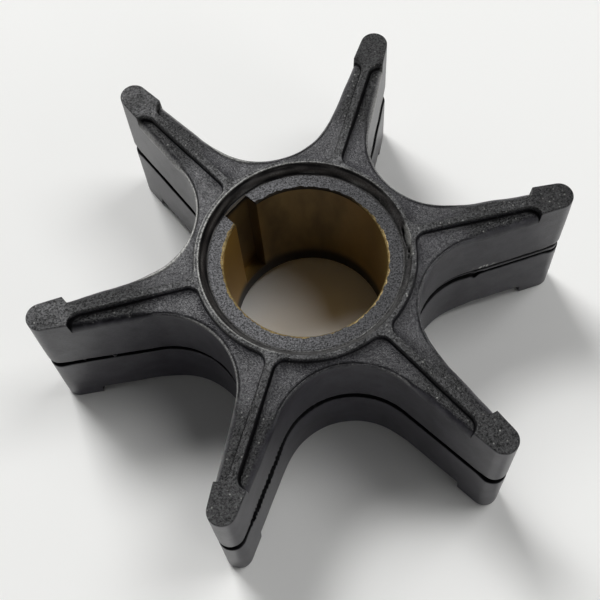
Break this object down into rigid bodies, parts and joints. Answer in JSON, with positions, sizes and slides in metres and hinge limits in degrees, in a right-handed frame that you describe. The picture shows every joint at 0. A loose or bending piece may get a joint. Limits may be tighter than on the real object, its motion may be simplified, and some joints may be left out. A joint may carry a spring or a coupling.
{
  "type": "rubber pump impeller",
  "caption": "Moulded rubber star impeller with straight radial vanes, bonded round a keyed brass bush, for a flexible-vane water pump.",
  "frame": {"origin": "on the bore axis, in the plane of the lower end faces", "axes": "+Z along the bore, +X along a vane; the keyway is at 125.2 degrees from +X"},
  "size_m": [0.068, 0.0594, 0.023],
  "materials": {
    "rubber": "moulded, fine grained ends and smooth sides",
    "brass": "turned bore, blasted end faces"
  },
  "bodies": {
    "root": {"rubber_body": "rubber", "hub_bush": "brass"}
  },
  "joints": []
}
